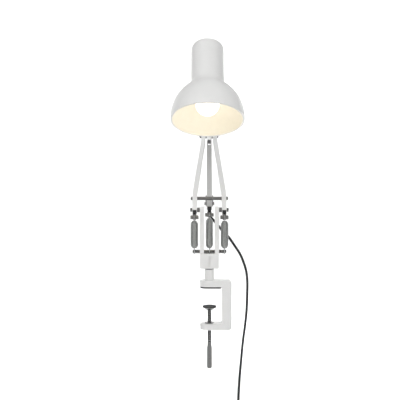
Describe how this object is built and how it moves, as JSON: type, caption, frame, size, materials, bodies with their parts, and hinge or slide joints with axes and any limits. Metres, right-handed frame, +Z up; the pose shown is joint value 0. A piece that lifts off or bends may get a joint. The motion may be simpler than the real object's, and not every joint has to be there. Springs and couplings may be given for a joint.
{
  "type": "swing arm desk lamp",
  "caption": "Clamp-on desk lamp: bell shade on a parallel-link swing arm, balanced by barrel springs above a swivelling fork and a screw clamp",
  "frame": {"origin": "middle of the upper jaw pad's underside, on the screw and swivel axis, where the desk's top surface is gripped", "axes": "+X to the clamp's spine, +Y to the back, where the lower arm leans, +Z up"},
  "size_m": [0.1575, 0.3824, 0.8169],
  "materials": {
    "white_paint": "smooth satin white powder coat",
    "bright_steel": "bright plated steel",
    "satin_aluminium": "satin brushed",
    "spring_steel": "plain drawn wire, slightly oiled",
    "black_plastic": "moulded matte black",
    "dark_rubber": "dull moulded rubber",
    "lit_glass": "opal glass, shown lit",
    "cord_black": "smooth black flex, slight sheen"
  },
  "bodies": {
    "clamp": {"clamp_frame": "white_paint", "clamp_jaw_pad": "dark_rubber", "swivel_bush": "black_plastic", "thread_bush": "bright_steel"},
    "pressure_pad": {"pressure_pad": "white_paint", "pressure_pad_face": "dark_rubber"},
    "clamp_screw": {"clamp_screw": "bright_steel", "handle_pin": "bright_steel"},
    "clamp_handle": {"clamp_handle": "bright_steel"},
    "fork": {"fork": "white_paint", "spindle": "bright_steel", "spring_anchor_rod": "bright_steel", "pivot_spacer_left": "bright_steel", "pivot_spacer_right": "bright_steel", "pivot_screw_left": "bright_steel", "pivot_screw_right": "bright_steel", "spring_centre_hook_low": "spring_steel"},
    "lower_arm": {"lower_arm_left": "white_paint", "lower_arm_right": "white_paint", "arm_plug_left": "black_plastic", "arm_plug_right": "black_plastic", "spring_pin_left": "bright_steel", "spring_pin_right": "bright_steel", "balance_rod": "bright_steel", "elbow_bolt": "bright_steel", "elbow_nut": "bright_steel"},
    "crank": {"crank_plate_left": "bright_steel", "crank_plate_right": "bright_steel", "crank_pin": "bright_steel"},
    "link": {"link_bar": "satin_aluminium", "link_plug": "black_plastic", "spring_pin_centre": "bright_steel", "cord_gland": "black_plastic"},
    "upper_arm": {"upper_arm": "white_paint", "tail_cap": "black_plastic", "link_pin": "bright_steel", "elbow_spacer_left": "bright_steel", "elbow_spacer_right": "bright_steel", "tilt_screw": "bright_steel"},
    "shade_knuckle": {"shade_knuckle": "white_paint"},
    "shade": {"shade": "white_paint", "lamp_holder": "black_plastic", "bulb_cap": "bright_steel", "bulb": "lit_glass", "switch_body": "black_plastic"},
    "switch_button": {"switch_button": "black_plastic"},
    "outer_springs": {"spring_left_hook_low": "spring_steel", "spring_right_hook_low": "spring_steel", "spring_left_coil": "spring_steel", "spring_right_coil": "spring_steel"},
    "outer_spring_tops": {"spring_left_hook_top": "spring_steel", "spring_right_hook_top": "spring_steel"},
    "centre_spring": {"spring_centre_coil": "spring_steel"},
    "centre_spring_top": {"spring_centre_hook_top": "spring_steel"},
    "cord": {"cord": "cord_black", "cord_coil": "cord_black", "cord_tail": "cord_black", "plug": "cord_black"}
  },
  "joints": [
    {"name": "pad_travel", "type": "slide", "parent": "clamp", "child": "pressure_pad", "axis": [0, 0, 1], "range_m": [-0.02, 0.0205]},
    {"name": "screw_turn", "type": "hinge", "parent": "pressure_pad", "child": "clamp_screw", "pos_m": [0, 0, -0.034], "axis": [0, 0, 1], "range_deg": [-5762, 5906]},
    {"name": "handle_swing", "type": "hinge", "parent": "clamp_screw", "child": "clamp_handle", "pos_m": [0, 0, -0.1062], "axis": [0, 1, 0], "range_deg": [-90, 90]},
    {"name": "base_swivel", "type": "hinge", "parent": "clamp", "child": "fork", "pos_m": [0, 0, 0.0368], "axis": [0, 0, 1], "range_deg": [-170, 170]},
    {"name": "lower_pivot", "type": "hinge", "parent": "fork", "child": "lower_arm", "pos_m": [0, 0, 0.1473], "axis": [-1, 0, 0], "range_deg": [-35, 20]},
    {"name": "elbow", "type": "hinge", "parent": "lower_arm", "child": "upper_arm", "pos_m": [0, 0.15768, 0.30499], "axis": [-1, 0, 0], "range_deg": [-25, 25]},
    {"name": "crank_turn", "type": "hinge", "parent": "lower_arm", "child": "crank", "pos_m": [0, 0.02178, 0.16908], "axis": [-1, 0, 0], "range_deg": [-25.01, 25.01]},
    {"name": "link_swing", "type": "hinge", "parent": "crank", "child": "link", "pos_m": [0, 0.04349, 0.15886], "axis": [-1, 0, 0], "range_deg": [-25.01, 25.01]},
    {"name": "shade_tilt", "type": "hinge", "parent": "upper_arm", "child": "shade_knuckle", "pos_m": [0, -0.06205, 0.37427], "axis": [-1, 0, 0], "range_deg": [-50, 50]},
    {"name": "shade_swivel", "type": "hinge", "parent": "shade_knuckle", "child": "shade", "pos_m": [-0.0035, -0.06205, 0.37427], "axis": [0, -0.9438, 0.3305], "range_deg": [-90, 90]},
    {"name": "switch_press", "type": "slide", "parent": "shade", "child": "switch_button", "axis": [0, -0.3305, -0.9438], "range_m": [0, 0.0015], "stiffness_N_per_m": 400, "springref_m": -0.0005},
    {"name": "cord_hang", "type": "hinge", "parent": "link", "child": "cord", "pos_m": [0, 0.04045, 0.13574], "axis": [-1, 0, 0], "range_deg": [-20.01, 35.01]},
    {"name": "outer_spring_tilt", "type": "hinge", "parent": "fork", "child": "outer_springs", "pos_m": [0, 0, 0.0685], "axis": [-1, 0, 0], "range_deg": [-3.7, 6.48]},
    {"name": "outer_spring_stretch", "type": "slide", "parent": "outer_springs", "child": "outer_spring_tops", "axis": [0, -0.2038, 0.979], "range_m": [-0.0081, 0.00464], "deforming": ["spring_left_coil", "spring_right_coil", "spring_left_hook_top", "spring_right_hook_top"]},
    {"name": "centre_spring_lower", "type": "slide", "parent": "fork", "child": "centre_spring", "axis": [0, 0.3019, 0.9533], "range_m": [-0.00699, 0.01223], "deforming": ["spring_centre_coil"]},
    {"name": "centre_spring_upper", "type": "slide", "parent": "centre_spring", "child": "centre_spring_top", "axis": [0, 0.3019, 0.9533], "range_m": [-0.00874, 0.00874], "deforming": ["spring_centre_hook_top"]}
  ],
  "couplings": [
    {"joint": "screw_turn", "follows": "pad_travel", "rad_per_m": 5026.5},
    {"joint": "crank_turn", "follows": "elbow", "ratio": 1},
    {"joint": "link_swing", "follows": "elbow", "ratio": -1},
    {"joint": "cord_hang", "follows": "lower_pivot", "ratio": -1},
    {"joint": "outer_spring_tilt", "follows": "lower_pivot", "ratio": -0.185},
    {"joint": "outer_spring_stretch", "follows": "lower_pivot", "m_per_rad": 0.01325},
    {"joint": "centre_spring_lower", "follows": "lower_pivot", "m_per_rad": -0.02},
    {"joint": "centre_spring_upper", "follows": "elbow", "m_per_rad": -0.02}
  ]
}
